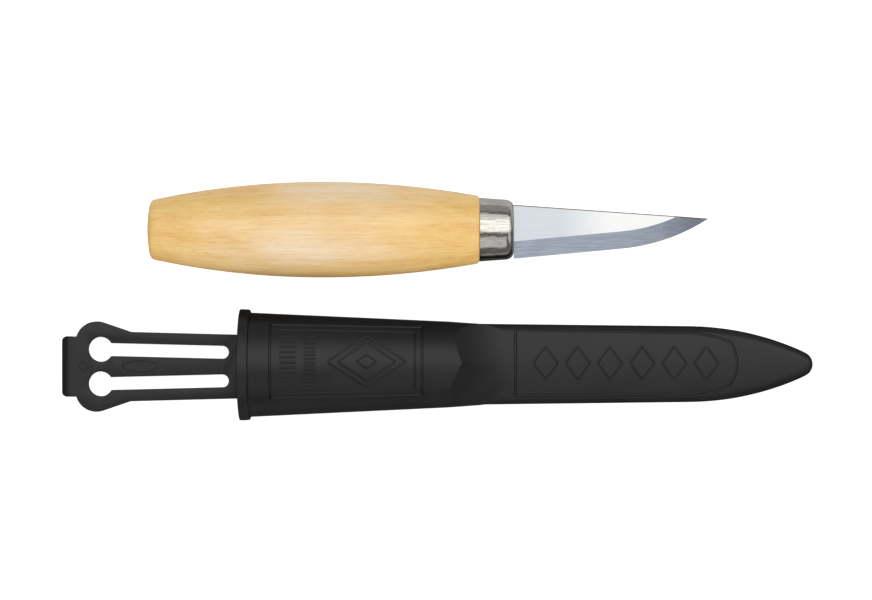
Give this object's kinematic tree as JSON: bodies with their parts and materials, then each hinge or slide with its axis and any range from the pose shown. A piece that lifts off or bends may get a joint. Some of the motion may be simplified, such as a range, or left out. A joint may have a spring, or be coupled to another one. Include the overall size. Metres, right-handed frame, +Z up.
{
  "type": "whittling knife",
  "caption": "Whittling knife with a barrel wooden handle, oval ferrule and short tapered blade, lying beside its black moulded sheath with a keyhole belt strap.",
  "frame": {"origin": "on the table, under the middle of the bounding box of the knife and its sheath laid side by side", "axes": "+X from the butt of the handle to the point of the blade and from the sheath's mouth to its tip, +Y from the sheath to the knife and from the cutting edge to the spine, +Z up from the table"},
  "size_m": [0.2394, 0.0754, 0.028],
  "materials": {
    "birch": "satin",
    "ferrule_steel": "satin",
    "blade_steel": "polished",
    "black_plastic": "satin",
    "glue": "matte"
  },
  "bodies": {
    "sheath": {"sheath_shell": "black_plastic"},
    "strap": {"belt_strap": "black_plastic"},
    "knife": {"handle": "birch", "tang_glue": "glue", "ferrule": "ferrule_steel", "blade": "blade_steel"}
  },
  "joints": [
    {"name": "strap_fold", "type": "hinge", "parent": "sheath", "child": "strap", "pos_m": [-0.0625, -0.02088, 0.001], "axis": [0, -1, 0], "range_deg": [0, 177], "stiffness_Nm_per_rad": 0.02},
    {"name": "knife_lift", "type": "slide", "parent": "sheath", "child": "knife", "axis": [0, 0, 1], "range_m": [0, 0.06]}
  ]
}
